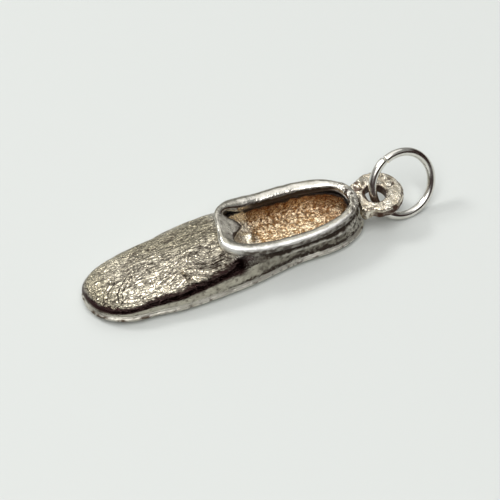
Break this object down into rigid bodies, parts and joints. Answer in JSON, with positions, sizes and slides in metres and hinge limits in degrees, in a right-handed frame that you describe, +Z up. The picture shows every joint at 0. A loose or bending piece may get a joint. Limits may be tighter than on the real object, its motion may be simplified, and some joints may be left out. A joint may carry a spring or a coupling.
{
  "type": "shoe charm",
  "caption": "Small cast metal charm in the shape of a slip-on shoe, with an eye at the heel and a swinging jump ring that hangs it from a bracelet or chain.",
  "frame": {"origin": "on the flat underside of the sole, halfway between the tip of the toe and the back of the heel, on the centre line of the foot opening", "axes": "+X from the toe to the heel and the eye, +Y across the shoe, +Z up from the sole"},
  "size_m": [0.0317, 0.0076, 0.0055],
  "materials": {
    "cast_skin": "silvered, worn, with a wrinkled leather-like grain and dark tarnish in the hollows",
    "sole_skin": "silvered, lightly pitted, dark along the seam",
    "coppery_floor": "granular copper-brown oxide with bright worn grains",
    "eye_skin": "rough warm silvered casting with dark pits",
    "bright_wire": "bright polished silvery wire"
  },
  "bodies": {
    "shoe": {"upper": "cast_skin", "sole": "sole_skin", "insole": "coppery_floor", "heel_eye": "eye_skin"},
    "ring": {"jump_ring": "bright_wire"}
  },
  "joints": [
    {"name": "ring_swing", "type": "hinge", "parent": "shoe", "child": "ring", "pos_m": [0.01345, -0.00035, 0.0025], "axis": [0, 0, 1], "range_deg": [-95, 120]}
  ]
}
